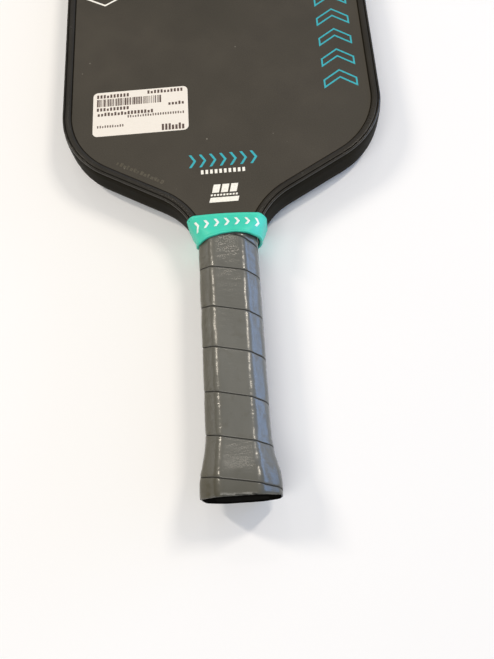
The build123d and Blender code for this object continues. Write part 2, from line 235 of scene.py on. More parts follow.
def grip_material():
    """Grey synthetic leather: a satin coat over fine pores, broad uneven tone, painted shade on
    the left facets and in the seams.
    """
    material, tree, shader = new_material("grip_leather")
    where = object_coordinates(tree)
    along = object_coordinates(tree, (1.0, 0.35, 1.0))
    cloud = noise_at(tree, along, 60, 4, 0.55)
    colour = blend_colours(
        tree, spread(tree, cloud, 0.3, 0.7, 0, 1), rgba(99, 99, 94), rgba(108, 108, 103)
    )
    grime = spread(tree, noise_at(tree, where, 160, 4, 0.6), 0.55, 0.8, 0, 0.35)
    soiled = blend_colours(tree, grime, colour, rgba(82, 78, 68))
    axes = node(tree, "ShaderNodeSeparateXYZ", {"Vector": where}).outputs
    near_butt = spread(tree, axes["Y"], 0.016, 0.0, 0, 0.65)
    left_shade_share = spread(tree, axes["X"], -0.009, -0.016, 0, 1)
    # The leather turns darker towards the butt, over the flare
    darker_near_butt = blend_colours(tree, near_butt, soiled, rgba(72, 70, 60))
    # Painted shade: the left facets turn darker and yellower, standing in for dark surroundings
    # reflected there
    tinted = blend_colours(tree, left_shade_share, darker_near_butt, rgba(74, 70, 53))
    # Painted shade: each seam is painted near-black and made duller, for the shade in the groove
    # between turns
    seam = node(tree, "ShaderNodeAttribute", attribute_name="seam").outputs["Fac"]
    tree.links.new(blend_colours(tree, seam, tinted, rgba(30, 28, 25)), shader.inputs["Base Color"])
    gloss = spread(tree, cloud, 0.3, 0.7, 0.19, 0.26)
    dull_seam = node(tree, "ShaderNodeMath", {0: seam, 1: 0.6, 2: gloss}, operation="MULTIPLY_ADD")
    tree.links.new(dull_seam.outputs[0], shader.inputs["Roughness"])
    shader.inputs["Specular IOR Level"].default_value = 0.5
    pores = node(tree, "ShaderNodeTexVoronoi", {"Vector": where, "Scale": 1500})
    pore_dip = spread(tree, pores.outputs["Distance"], 0.0, 0.3, 0, 1)
    ripple = noise_at(tree, where, 330, 2, 0.5)
    crease = noise_at(tree, object_coordinates(tree, (1.0, 2.2, 1.0)), 150, 2, 0.5)
    wrinkle = noise_at(tree, object_coordinates(tree, (0.35, 1.0, 0.35)), 520, 2, 0.5)
    layers = [
        (crease, 0.08, 0.0006), (ripple, 0.08, 0.0004), (wrinkle, 0.45, 0.0003),
        (pore_dip, 0.05, 0.00008),
    ]
    add_bump(tree, shader, layers)
    return material


def collar_material():
    """Turquoise silicone: a soft satin surface with light just under the skin."""
    material, tree, shader = new_material("collar_silicone")
    where = object_coordinates(tree)
    cloud = noise_at(tree, where, 120, 3)
    colour = blend_colours(
        tree, spread(tree, cloud, 0.3, 0.7, 0, 1), rgba(62, 208, 180), rgba(70, 216, 190)
    )
    tree.links.new(colour, shader.inputs["Base Color"])
    tree.links.new(spread(tree, cloud, 0.3, 0.7, 0.42, 0.5), shader.inputs["Roughness"])
    shader.inputs["Subsurface Weight"].default_value = 0.08
    shader.inputs["Subsurface Radius"].default_value = (0.2, 1.0, 0.8)
    shader.inputs["Subsurface Scale"].default_value = 0.001
    grain = noise_at(tree, where, 1800, 2)
    add_bump(tree, shader, [(grain, 0.08, 0.00005)])
    return material


def ink_material(name, colour, tinted, roughness=0.5, wear=0.35):
    """Screen-printed ink, a little thin in places."""
    material, tree, shader = new_material(name)
    where = object_coordinates(tree)
    thin = spread(tree, noise_at(tree, where, 900, 3), 0.45, 0.75, 0, wear)
    tree.links.new(blend_colours(tree, thin, colour, tinted), shader.inputs["Base Color"])
    shader.inputs["Roughness"].default_value = roughness
    add_bump(tree, shader, [(noise_at(tree, where, 2600, 2), 0.15, 0.00003)])
    return material


def paper_material():
    """Coated sticker paper, warm white, with faint fibres."""
    material, tree, shader = new_material("label_paper")
    where = object_coordinates(tree)
    fibre = noise_at(tree, object_coordinates(tree, (1, 4, 1)), 700, 4)
    colour = blend_colours(
        tree, spread(tree, fibre, 0.3, 0.7, 0, 1), rgba(236, 230, 221), rgba(241, 236, 228)
    )
    tree.links.new(colour, shader.inputs["Base Color"])
    shader.inputs["Roughness"].default_value = 0.45
    add_bump(tree, shader, [(noise_at(tree, where, 500, 3), 0.06, 0.00005)])
    return material


def moulded_material(name, dark, light, roughness, grain_scale=1400, specular=0.5):
    """Moulded plastic, foam or tape: two close shades and a fine grain."""
    material, tree, shader = new_material(name)
    where = object_coordinates(tree)
    cloud = noise_at(tree, where, 140, 4)
    colour = blend_colours(tree, spread(tree, cloud, 0.3, 0.7, 0, 1), dark, light)
    tree.links.new(colour, shader.inputs["Base Color"])
    tree.links.new(
        spread(tree, cloud, 0.3, 0.7, roughness - 0.05, roughness + 0.05),
        shader.inputs["Roughness"],
    )
    shader.inputs["Specular IOR Level"].default_value = specular
    add_bump(tree, shader, [(noise_at(tree, where, grain_scale, 3), 0.25, 0.00006)])
    return material


def steel_material():
    """Plain drawn wire."""
    material, tree, shader = new_material("staple_steel")
    streak = noise_at(tree, object_coordinates(tree, (1, 12, 12)), 600, 3)
    tree.links.new(
        blend_colours(tree, streak, rgba(150, 150, 150), rgba(190, 190, 188)),
        shader.inputs["Base Color"],
    )
    shader.inputs["Metallic"].default_value = 1
    tree.links.new(spread(tree, streak, 0.3, 0.7, 0.3, 0.45), shader.inputs["Roughness"])
    return material


# ------------------------ meshes

def mesh_piece(
    name, vertices, faces, material, replaced=(), smooth=True, painted_seam_shades=None
):
    """A mesh that belongs to the paddle, riding on its one body."""
    mesh = bpy.data.meshes.new(name)
    mesh.from_pydata([tuple(v) for v in vertices], [], faces)
    if painted_seam_shades:
        shade = mesh.attributes.new("seam", "FLOAT", "POINT")
        shade.data.foreach_set("value", painted_seam_shades)
    work = bmesh.new()
    work.from_mesh(mesh)
    bmesh.ops.remove_doubles(work, verts=work.verts, dist=SAME_PLACE)
    bmesh.ops.recalc_face_normals(work, faces=work.faces)
    work.to_mesh(mesh)
    work.free()
    piece = bpy.data.objects.new(name, mesh)
    bpy.context.scene.collection.objects.link(piece)
    mesh.materials.append(material)
    for polygon in mesh.polygons:
        polygon.use_smooth = smooth
    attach(piece, "root")
    if replaced:
        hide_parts(*replaced)
    return piece


def ring_faces(count, rings, closed_rings=False):
    """Quads between rings of count points each, every ring closed on itself."""
    faces = []
    last = rings if closed_rings else rings - 1
    for ring in range(last):
        here = ring * count
        there = (ring + 1) % rings * count
        for i in range(count):
            j = (i + 1) % count
            faces.append((here + i, here + j, there + j, there + i))
    return faces


# ------------------------ the head's edge

class Outline:
    """The head's edge as arcs and straight runs, sampled with its outward direction."""

    def __init__(self):
        normal = Vector((math.sin(SHOULDER_ANGLE), -math.cos(SHOULDER_ANGLE)))
        self.corner = Vector((EDGE_HALF_WIDTH - CORNER_RADIUS, CORNER_TOP_Y))
        outer = self.corner + normal * CORNER_RADIUS
        neck_x = NECK_HALF_WIDTH + NECK_RADIUS
        inner_x = neck_x - normal.x * NECK_RADIUS
        inner_y = outer.y - math.tan(SHOULDER_ANGLE) * (outer.x - inner_x)
        self.neck = Vector((neck_x, inner_y + normal.y * NECK_RADIUS))
        self.crown = Vector((0, TIP_Y - TIP_CROWN_RADIUS))
        tip_x = EDGE_HALF_WIDTH - TIP_CORNER_RADIUS
        rise = math.sqrt((TIP_CROWN_RADIUS - TIP_CORNER_RADIUS) ** 2 - tip_x**2)
        self.tip = Vector((tip_x, self.crown.y + rise))
        self.tip_sweep = math.atan2(rise, tip_x)

    def right_half(self, step):
        """Points and outward directions from the neck's end up the right side to the tip."""
        samples = []

        def arc(centre, radius, start, end, outward):
            count = max(2, math.ceil(abs(end - start) * radius / step))
            for i in range(count + 1):
                angle = start + (end - start) * i / count
                direction = Vector((math.cos(angle), math.sin(angle)))
                samples.append((centre + direction * radius, direction * outward))

        neck_start = math.pi - math.asin((GUARD_END_Y - self.neck.y) / NECK_RADIUS)
        arc(self.neck, NECK_RADIUS, neck_start, SHOULDER_ANGLE + math.pi / 2, -1)
        self.fill_run(samples, self.corner + samples[-1][1] * CORNER_RADIUS, step)
        arc(self.corner, CORNER_RADIUS, SHOULDER_ANGLE - math.pi / 2, 0, 1)
        self.fill_run(samples, self.tip + Vector((TIP_CORNER_RADIUS, 0)), step)
        arc(self.tip, TIP_CORNER_RADIUS, 0, self.tip_sweep, 1)
        arc(self.crown, TIP_CROWN_RADIUS, self.tip_sweep, math.pi / 2, 1)
        return samples

    @staticmethod
    def fill_run(samples, end, step):
        """Points along a straight run, leaving out its two ends."""
        start, outward = samples[-1]
        count = max(2, math.ceil((end - start).length / step))
        for i in range(1, count):
            samples.append((start.lerp(end, i / count), outward))

    def whole(self, step):
        """Both halves, from the right side of the neck over the tip to the left side."""
        right = self.right_half(step)
        cleaned = [right[0]]
        for sample in right[1:]:
            if (sample[0] - cleaned[-1][0]).length > 10 * SAME_PLACE:
                cleaned.append(sample)
        left = [
            (Vector((-p.x, p.y)), Vector((-n.x, n.y)))
            for p, n in reversed(cleaned[:-1])
        ]
        return cleaned + left


def rounded_profile(corners, turns=4, most_of_side=0.48):
    """A closed profile with each corner rounded by its own radius, as far as its sides allow."""
    points = []
    count = len(corners)
    for i, (x, z, radius) in enumerate(corners):
        here = Vector((x, z))
        before = Vector(corners[i - 1][:2])
        after = Vector(corners[(i + 1) % count][:2])
        if radius <= 0:
            points.append(here)
            continue
        towards = (before - here).normalized()
        away = (after - here).normalized()
        half = towards.angle(away) / 2
        reach = min(
            radius / math.tan(half),
            most_of_side * (before - here).length,
            most_of_side * (after - here).length,
        )
        first, last = here + towards * reach, here + away * reach
        for t in range(turns + 1):
            s = t / turns
            a, b = first.lerp(here, s), here.lerp(last, s)
            points.append(a.lerp(b, s))
    return points


def guard_profile():
    """The guard's section, outwards and up, in metres from the panel's edge and mid-plane."""
    lip = LIP_Z / MM
    face = FACE_Z / MM
    inner = -LIP_REACH / MM
    seat = [(0.25, face, 0), (inner - 0.35, face, 0)]
    inner_step = [(inner - 0.35, face + 0.1, 0.05), (inner + 0.25, face + 0.1, 0.05)]
    crown = [(inner + 0.38, lip - 0.5, 0.12), (inner + 1.3, lip - 0.16, 0.8), (-1.9, lip, 0.8)]
    groove = [
        (-0.98, lip - 0.06, 0.14), (-0.9, lip - 0.8, 0.06),
        (-0.46, lip - 0.8, 0.06), (-0.38, lip - 0.1, 0.14),
    ]
    outer_corner = [(0.05, lip, 0.3), (0.62, lip - 0.3, 0.3), (0.82, lip - 1.0, 0.1)]
    wall_step = [(0.62, lip - 1.3, 0.08), (1.05, lip - 1.8, 0.3), (1.34, 4.2, 2.0)]
    upper = seat + inner_step + crown + groove + outer_corner + wall_step
    lower = [(x, -z, radius) for x, z, radius in reversed(upper)]
    corners = [(x * MM, z * MM, radius * MM) for x, z, radius in upper + lower]
    return rounded_profile(corners)


def make_edge_guard(material, wall_shade_material):
    """The guard's channel swept round the head, with closed ends inside the collar."""
    profile = guard_profile()
    path = Outline().whole(GUARD_STEP)
    vertices = []
    for place, outward in path:
        for across, up in profile:
            at = place + outward * across
            vertices.append((at.x, at.y, up))
    count = len(profile)
    faces = ring_faces(count, len(path))
    faces.append(tuple(range(count)))
    faces.append(tuple(range((len(path) - 1) * count, len(path) * count)))
    guard = mesh_piece("guard_channel", vertices, faces, material, ["edge_guard"])
    guard.data.materials.append(wall_shade_material)
    # Below the lips the wall is duller. It and the seat at the lip's inner edge take a darker,
    # browner copy of the plastic: painted shade on the wall and a painted shadow line along the
    # seat
    for polygon in guard.data.polygons:
        polygon.material_index = int(abs(polygon.center.z) < FACE_Z + SEAT_HEIGHT)
    return guard


# ------------------------ grip

def octagon_section(half_width, half_depth, bevel, radius, per_corner=7, per_side=6):
    """Points round a bevelled box with rounded corners, as (x, z) from the right side's foot."""
    quarter = [(half_width, half_depth - bevel), (half_width - bevel, half_depth)]
    top = quarter + [(-x, z) for x, z in reversed(quarter)]
    corners = top + [(-x, -z) for x, z in top]
    points = []
    count = len(corners)
    for i in range(count):
        here = Vector(corners[i])
        before, after = Vector(corners[i - 1]), Vector(corners[(i + 1) % count])
        towards, away = (before - here).normalized(), (after - here).normalized()
        reach = radius / math.tan(towards.angle(away) / 2)
        first, last = here + towards * reach, here + away * reach
        for t in range(per_corner + 1):
            s = t / per_corner
            points.append(first.lerp(here, s).lerp(here.lerp(last, s), s))
        following = after + (here - after).normalized() * reach
        for t in range(1, per_side):
            points.append(last.lerp(following, t / per_side))
    return points


def smooth_steps(stations, at):
    """A value that runs smoothly through a list of (place, value) stations."""
    if at <= stations[0][0]:
        return stations[0][1]
    if at >= stations[-1][0]:
        return stations[-1][1]
    i = next(k for k in range(len(stations) - 1) if at <= stations[k + 1][0])
    x0, y0 = stations[i]
    x1, y1 = stations[i + 1]
    before = stations[max(i - 1, 0)]
    after = stations[min(i + 2, len(stations) - 1)]
    slope0 = (y1 - before[1]) / (x1 - before[0])
    slope1 = (after[1] - y0) / (after[0] - x0)
    span = x1 - x0
    t = (at - x0) / span
    return (
        y0 * (2 * t**3 - 3 * t**2 + 1)
        + slope0 * span * (t**3 - 2 * t**2 + t)
        + y1 * (3 * t**2 - 2 * t**3)
        + slope1 * span * (t**3 - t**2)
    )


def share_between(value, start, end):
    """How far a value is on the way from start to end, held between 0 and 1."""
    return min(max((value - start) / (end - start), 0), 1)


# Height above the butt and how far the wrap stands out from its straight part there, both
# in millimetres
FLARE = [
    (0.0, 3.5), (0.5, 3.56), (1.4, 3.63), (3.0, 3.68), (6.0, 3.72), (8.5, 3.62), (12.0, 3.12),
    (16.0, 2.12), (20.0, 1.3), (24.0, 0.64), (28.0, 0.16), (32.0, 0.0),
]
# Turns of the strip, and the seam's height in millimetres after each, counted from the middle
# of the front. The strip's cut end makes the last seam climb faster.
SEAMS = [
    (-1, -39.0), (0, -16.0), (1, 7.0), (2, 27.2), (3, 48.9), (4, 72.4), (5, 94.5),
    (6, 117.4), (6.5, 125.6), (6.7, 127.8), (6.77, 129.4), (6.83, 132.2), (6.89, 134.4),
    (6.96, 137.0), (7.1, 145.0), (8, 180.0),
]
FIRST_TURN, LAST_TURN = -1, 8
# Places across the strip's width, close together at its two edges
STRIP_PHASES = [
    0, 0.004, 0.009, 0.016, 0.026, 0.042, 0.07, 0.11, 0.16, 0.21, 0.26, 0.32, 0.38, 0.44, 0.5,
    0.56, 0.62, 0.68, 0.74, 0.79, 0.84, 0.88, 0.92, 0.95, 0.97, 0.98, 0.988, 0.995,
]
# The wrap's inside over the cap and handle, as height and growth in millimetres. Its foot
# laps the cap's rim.
WRAP_FOOT = 0.15
WRAP_INSIDE = [(WRAP_FOOT, 4.9), (0.65, 4.9), (1.5, 3.65)] + FLARE[3:-1]
WRAP_INSIDE.append((WRAP_TOP_Y / MM, 0.0))
# The wrap's lower edge is level with the end at the front and stops short of it at the back
BUTT_LEAN = 0.028
BUTT_FRONT_Z = 13.0 * MM
# The strip's section in millimetres: its raised edge, its crown and the dip beside the seam,
# with the shares of its width over which the edge rises, the dip falls and painted shade
# darkens the seam
SEAM_STEP = 0.26
STRIP_CROWN = 0.18
SEAM_DIP = 0.36
EDGE_SHARE = 0.008
DIP_SHARE = 0.009
PAINTED_SEAM_SHADE_REACH = 0.024
# Unevenness of the hand-wound strip: how often it comes per metre, and its height
UNEVENNESS = [(110, 0.12 * MM), (340, 0.11 * MM)]


def strip_lift(phase):
    """How the strip's outside rises and falls from its lower edge, 0, to the next, 1."""
    edge = 1 - math.exp(-phase / EDGE_SHARE)
    tuck = math.exp(-(1 - phase) / DIP_SHARE)
    raised = SEAM_STEP * edge * (1 - 0.65 * phase)
    crown = STRIP_CROWN * math.sin(math.pi * phase) ** 0.7
    dip = SEAM_DIP * (tuck + 1 - edge)
    return (raised + crown - dip) * MM


class HandleSection:
    """The bare handle's bevelled section, and how each point moves as the section grows."""

    def __init__(self):
        sizes = (BARE_HALF_WIDTH, BARE_HALF_DEPTH, BARE_BEVEL)
        growths = (MM, MM, BEVEL_GROWTH * MM)
        wider = [size + growth for size, growth in zip(sizes, growths)]
        self.points = octagon_section(*sizes, CORNER_ROUND)
        grown = octagon_section(*wider, CORNER_ROUND)
        self.growth = [(far - near) / MM for near, far in zip(self.points, grown)]
        self.outward = [ring_outward(self.points, i) for i in range(len(self.points))]

    def grown(self, amount):
        """The section moved out all round by an amount."""
        return [point + growth * amount for point, growth in zip(self.points, self.growth)]

    def round_fractions(self):
        """How far round each point is from the middle of the front, rising to the left."""
        count = len(self.points)
        lengths = [0.0]
        for i in range(count):
            lengths.append(lengths[-1] + (self.points[(i + 1) % count] - self.points[i]).length)
        front = ring_front(self.points)
        return [((lengths[i] - lengths[front]) / lengths[-1]) % 1.0 for i in range(count)]


def ring_front(ring):
    """The number of a ring's point at the middle of the front."""
    return min(range(len(ring)), key=lambda i: (abs(ring[i].x), -ring[i].y))


def ring_outward(ring, i):
    """The outward direction of a ring at one of its points."""
    along = (ring[(i + 1) % len(ring)] - ring[i - 1]).normalized()
    return Vector((along.y, -along.x))


def unevenness(place):
    """How far the hand-wound strip stands out of true at a place."""
    return sum(noise.noise(place * scale) * height for scale, height in UNEVENNESS)


def make_grip(material, section):
    """The wound strip: one skin whose seams climb round the octagon, flared over the butt."""
    fractions = section.round_fractions()
    order = sorted(range(len(fractions)), key=lambda i: fractions[i])
    columns = [(i, fractions[i]) for i in order] + [(order[0], 1.0)]
    rows = (LAST_TURN - FIRST_TURN) * len(STRIP_PHASES)
    loop = rows + len(WRAP_INSIDE)
    vertices, faces, shades = [], [], []
    for i, fraction in columns:
        low = max(0, BUTT_LEAN * (BUTT_FRONT_Z - section.points[i].y))
        for row in range(rows):
            turn, step = divmod(row, len(STRIP_PHASES))
            phase = STRIP_PHASES[step]
            height = smooth_steps(SEAMS, FIRST_TURN + turn + phase + fraction) * MM
            clamped = min(max(height, low), WRAP_TOP_Y)
            grown = smooth_steps(FLARE, clamped / MM) * MM + WRAP_THICKNESS
            point = section.points[i] + section.growth[i] * grown
            lift = strip_lift(phase) if low < height < WRAP_TOP_Y else 0
            lift += unevenness(Vector((point.x, clamped, point.y)))
            point += section.outward[i] * lift
            vertices.append((point.x, clamped, point.y))
            # Painted shade along each seam, strongest at the seam itself
            shades.append(share_between(min(phase, 1 - phase), PAINTED_SEAM_SHADE_REACH, 0))
        for height, growth in reversed(WRAP_INSIDE):
            point = section.points[i] + section.growth[i] * growth * MM
            vertices.append((point.x, max(height, low / MM + WRAP_FOOT) * MM, point.y))
            shades.append(0)
    for column in range(len(columns) - 1):
        for row in range(loop):
            here, above = column * loop + row, column * loop + (row + 1) % loop
            faces.append((here, here + loop, above + loop, above))
    return mesh_piece(
        "grip_winding", vertices, faces, material, ["grip_wrap"], painted_seam_shades=shades
    )


def make_finishing_tape(material, section):
    """The band of tape pressed over the wrap's top end."""
    outside, inside = WRAP_THICKNESS + TAPE_LIFT, WRAP_THICKNESS - TAPE_LIFT
    profile = [
        (TAPE_LOW_Y, inside),
        (TAPE_LOW_Y, outside - TAPE_EDGE),
        (TAPE_LOW_Y + TAPE_EDGE, outside),
        (TAPE_HIGH_Y - TAPE_EDGE, outside),
        (TAPE_HIGH_Y, outside - TAPE_EDGE),
        (TAPE_HIGH_Y, inside),
    ]
    rings = [(height, section.grown(amount)) for height, amount in profile]
    vertices = [(point.x, height, point.y) for height, ring in rings for point in ring]
    faces = ring_faces(len(section.points), len(rings), closed_rings=True)
    return mesh_piece("finishing_band", vertices, faces, material, ["finishing_tape"])


def make_butt_cap(material, section):
    """The moulded cup under the flare, with a rounded end rim and a recess for the badge."""
    half_width, half_depth = BADGE_HIGH.x + BADGE_GAP, BADGE_HIGH.z + BADGE_GAP
    recess = octagon_section(half_width, half_depth, BEVEL_GROWTH * BADGE_CORNER, BADGE_CORNER)
    rim = FLARE[0][1] * MM + WRAP_THICKNESS - CAP_RIM_INSET
    rings = [(BADGE_HIGH.y, recess), (0.0, recess)]
    for turn in range(4):
        angle = turn / 3 * math.pi / 2
        inset, rise = 1 - math.sin(angle), 1 - math.cos(angle)
        rings.append((CAP_RIM_ROUND * rise, section.grown(rim - CAP_RIM_ROUND * inset)))
    for height, growth in FLARE:
        if CAP_RIM_HEIGHT < height * MM < CAP_TOP_Y:
            rings.append((height * MM, section.grown(growth * MM - CAP_CLEARANCE)))
    rings.append((CAP_TOP_Y, section.grown(0)))
    rings.append((CAP_TOP_Y, section.grown(-CAP_SKIRT)))
    rings.append((CAP_END_WALL, section.grown(-CAP_SKIRT)))
    vertices = [(point.x, height, point.y) for height, ring in rings for point in ring]
    count = len(recess)
    faces = ring_faces(count, len(rings))
    faces.append(tuple(range(count)))
    faces.append(tuple(range((len(rings) - 1) * count, len(rings) * count)))
    return mesh_piece("butt_cap_cup", vertices, faces, material, ["butt_cap"], smooth=False)


# ------------------------ collar

# All of the collar's sizes are in millimetres. Its shape is a height, then the half-width,
# half-depth and corner bevel of its outside there.
COLLAR_SHAPE = [
    (133.0, (17.9, 16.2, 7.4)),
    (136.5, (18.1, 16.15, 7.3)),
    (138.5, (18.4, 15.9, 7.0)),
    (141.5, (19.2, 15.0, 6.0)),
    (146.0, (20.8, 12.8, 4.5)),
    (150.0, (22.0, 11.1, 3.4)),
    (154.0, (23.3, 9.9, 2.6)),
]
COLLAR_WALL = 1.5
# Its corners' radius as a share of their bevel
COLLAR_CORNER = 1.5
# Its two edges: their height at the sides, how far they bow up between, and how they slant
COLLAR_BOTTOM = 135.0
COLLAR_BOTTOM_RISE = 2.6
COLLAR_BOTTOM_HALF_WIDTH = 18.0
COLLAR_BOTTOM_TILT = 0.09
COLLAR_TOP = 149.6
COLLAR_TOP_RISE = 3.3
COLLAR_TOP_HALF_WIDTH = 23.0
COLLAR_TOP_TILT = -0.04
# The bottom edge rides up towards the back, where the sleeve lies close to the wrap
COLLAR_CLIMB = 3.2
COLLAR_CLIMB_START = 7.0
COLLAR_BACK_RISE = 0.6
COLLAR_HUG = 0.12
COLLAR_HUG_FRONT, COLLAR_HUG_BACK = 3.0, -14.0
# It was rolled on a little to the right, more so where it is over the wrap
COLLAR_SHIFT = 0.4
COLLAR_LOW_SHIFT = 0.4
COLLAR_OFF_WRAP, COLLAR_ON_WRAP = 146.0, 138.0
COLLAR_MIDDLE = 144.0
COLLAR_FRONT_Z = 12.0
# The rolled bead along each edge, as distance from the edge and height above the wall
RIM_BEAD = [
    (0.0, -0.4), (0.1, 0.02), (0.4, 0.26), (0.95, 0.28), (1.25, 0.1), (1.42, -0.1), (1.8, 0.0),
]
# The wall between the beads: steps up its outside, and how its inner edges are cut back
OUTSIDE_SHARE = 0.14
INNER_CUT, INNER_EDGE = 0.1, 0.5


def collar_section(height):
    """The collar's outside at a height, as a ring of points from the middle of the front."""
    sizes = [
        smooth_steps([(y, shape[i]) for y, shape in COLLAR_SHAPE], height) * MM
        for i in range(3)
    ]
    ring = octagon_section(*sizes, COLLAR_CORNER * sizes[2])
    front = ring_front(ring)
    over_wrap = share_between(height, COLLAR_OFF_WRAP, COLLAR_ON_WRAP)
    shift = (COLLAR_SHIFT + COLLAR_LOW_SHIFT * over_wrap) * MM
    moved = []
    for point in ring[front:] + ring[:front]:
        back_share = share_between(point.y / MM, COLLAR_HUG_FRONT, COLLAR_HUG_BACK)
        hug = COLLAR_HUG * over_wrap * back_share
        moved.append(Vector((point.x * (1 - hug) + shift, point.y)))
    return moved


def collar_edges(x, z):
    """Heights of the collar's bottom and top edge at a place round it, in millimetres."""
    low_bow = 1 - min(abs(x) / COLLAR_BOTTOM_HALF_WIDTH, 1) ** 2
    high_bow = 1 - min(abs(x) / COLLAR_TOP_HALF_WIDTH, 1) ** 2
    back = share_between(z, COLLAR_CLIMB_START, -COLLAR_CLIMB_START)
    back *= back * (3 - 2 * back)
    rise = COLLAR_BOTTOM_RISE * (1 - back) + COLLAR_BACK_RISE * back
    slant = COLLAR_BOTTOM_TILT * max(x, 0)
    return (
        COLLAR_BOTTOM + rise * low_bow + slant + COLLAR_CLIMB * back,
        COLLAR_TOP + COLLAR_TOP_RISE * high_bow + COLLAR_TOP_TILT * x,
    )


def collar_profile(bottom, top):
    """The sleeve's section between its two edges, as height and distance outwards."""
    low, high = bottom + RIM_BEAD[-1][0], top - RIM_BEAD[-1][0]
    profile = [(bottom + rise, out) for rise, out in RIM_BEAD]
    profile += [(low + (high - low) * OUTSIDE_SHARE * step, 0.0) for step in range(1, 7)]
    profile += [(top - rise, out) for rise, out in reversed(RIM_BEAD)]
    profile += [(top - INNER_CUT, INNER_CUT - COLLAR_WALL), (top - INNER_EDGE, -COLLAR_WALL)]
    profile += [(low + (high - low) * step / 4, -COLLAR_WALL) for step in (3, 2, 1)]
    profile += [(bottom + INNER_EDGE, -COLLAR_WALL), (bottom + INNER_CUT, INNER_CUT - COLLAR_WALL)]
    return profile


def make_collar(material):
    """The stretched sleeve, with a rolled bead along its top and bottom edge."""
    middle = collar_section(COLLAR_MIDDLE)
    vertices = []
    for i, place in enumerate(middle):
        profile = collar_profile(*collar_edges(place.x / MM, place.y / MM))
        for height, out in profile:
            ring = collar_section(height)
            at = ring[i] + ring_outward(ring, i) * out * MM
            vertices.append((at.x, height * MM, at.y))
    faces = ring_faces(len(vertices) // len(middle), len(middle), closed_rings=True)
    return mesh_piece("collar_sleeve", vertices, faces, material, ["neck_collar"])


def on_collar(across, share, out):
    """A place on the collar's front, so far across it and up from its bottom edge."""
    low, high = collar_edges(across / MM, COLLAR_FRONT_Z)
    height = low + (high - low) * share
    ring = collar_section(height)
    step = -1 if across > 0 else 1
    left, i = abs(across), 0
    span = (ring[step] - ring[0]).length
    while span < left or span == 0:
        left -= span
        i = (i + step) % len(ring)
        span = (ring[(i + step) % len(ring)] - ring[i]).length
    along = ring[i].lerp(ring[(i + step) % len(ring)], left / span)
    at = along + ring_outward(ring, i) * out
    return (at.x, height * MM, at.y)


# The chevrons on the collar: how many, and their sizes in millimetres. Their height is a
# share of the collar's.
CHEVRONS = 7
CHEVRON_PITCH = 5.6
CHEVRON_TIP = 0.9
CHEVRON_LENGTH = 1.7
CHEVRON_STROKE = 1.5
CHEVRON_MIDDLE = 0.55
CHEVRON_HALF_HEIGHT = 0.2
CHEVRON_ROWS, CHEVRON_COLUMNS = 9, 4
CHEVRON_ROOT, CHEVRON_RISE = -0.05 * MM, 0.06 * MM


def make_collar_marks(material):
    """A row of plain chevrons printed round the collar's front."""
    vertices, faces = [], []
    for mark in range(CHEVRONS):
        tip = (mark - (CHEVRONS - 1) / 2) * CHEVRON_PITCH + CHEVRON_TIP
        base = len(vertices)
        for out in (CHEVRON_ROOT, CHEVRON_RISE):
            for row in range(CHEVRON_ROWS):
                up = 2 * row / (CHEVRON_ROWS - 1) - 1
                share = CHEVRON_MIDDLE + CHEVRON_HALF_HEIGHT * up
                for column in range(CHEVRON_COLUMNS):
                    stroke = CHEVRON_STROKE * (column / (CHEVRON_COLUMNS - 1) - 0.5)
                    across = (tip - CHEVRON_LENGTH * abs(up) + stroke) * MM
                    vertices.append(on_collar(across, share, out))
        faces += sheet_shell(base, CHEVRON_ROWS, CHEVRON_COLUMNS)
    return mesh_piece("collar_marks", vertices, faces, material)


def sheet_shell(base, rows, columns):
    """Faces round two stacked grids of points, the lower one first."""
    def at(layer, row, column):
        return base + (layer * rows + row) * columns + column

    faces = []
    for row in range(rows - 1):
        for column in range(columns - 1):
            for layer in (0, 1):
                faces.append((
                    at(layer, row, column), at(layer, row, column + 1),
                    at(layer, row + 1, column + 1), at(layer, row + 1, column),
                ))
    border = [(0, c) for c in range(columns)]
    border += [(r, columns - 1) for r in range(1, rows)]
    border += [(rows - 1, c) for c in range(columns - 2, -1, -1)]
    border += [(r, 0) for r in range(rows - 2, 0, -1)]
    for i, (r, c) in enumerate(border):
        r2, c2 = border[(i + 1) % len(border)]
        faces.append((at(0, r, c), at(0, r2, c2), at(1, r2, c2), at(1, r, c)))
    return faces


# ------------------------ printed marks

class Marks:
    """Flat raised marks on the front face or the sticker, collected into one piece per ink."""

    def __init__(self, low, high):
        self.low, self.high = low, high
        self.vertices, self.faces = [], []

    def block(self, corners):
        """A solid mark with these corners, in millimetres."""
        base, count = len(self.vertices), len(corners)
        for z in (self.low, self.high):
            self.vertices += [(x * MM, y * MM, z) for x, y in corners]
        self.faces.append(tuple(range(base + count - 1, base - 1, -1)))
        self.faces.append(tuple(range(base + count, base + 2 * count)))
        for i in range(count):
            j = (i + 1) % count
            self.faces.append((base + i, base + j, base + count + j, base + count + i))

    def ring(self, outer, inner):
        """An outline between two loops of the same number of corners."""
        base, count = len(self.vertices), len(outer)
        for loop in (outer, inner):
            for z in (self.low, self.high):
                self.vertices += [(x * MM, y * MM, z) for x, y in loop]
        out_low, out_high, in_low, in_high = (base + count * k for k in range(4))
        for i in range(count):
            j = (i + 1) % count
            self.faces.append((out_low + i, out_low + j, out_high + j, out_high + i))
            self.faces.append((in_high + i, in_high + j, in_low + j, in_low + i))
            self.faces.append((out_high + i, out_high + j, in_high + j, in_high + i))
            self.faces.append((in_low + i, in_low + j, out_low + j, out_low + i))

    def bar(self, x, y, width, height, slant=0.0):
        """An upright bar from its lower left corner, leaning right by slant."""
        high = y + height
        self.block([(x, y), (x + width, y), (x + width + slant, high), (x + slant, high)])

    def make(self, name, material, slot):
        """The finished piece with all of these marks."""
        return mesh_piece(name, self.vertices, self.faces, material, smooth=False)


def chevron(x, y, width, height, arm, turned=False):
    """Corners of an arrow head that points right from its lower left corner, or points up."""
    tip, notch = (width, height / 2), (width - arm, height / 2)
    corners = [(0, 0), (arm, 0), tip, (arm, height), (0, height), notch]
    if turned:
        corners = [(b, a) for a, b in reversed(corners)]
    return [(x + a, y + b) for a, b in corners]


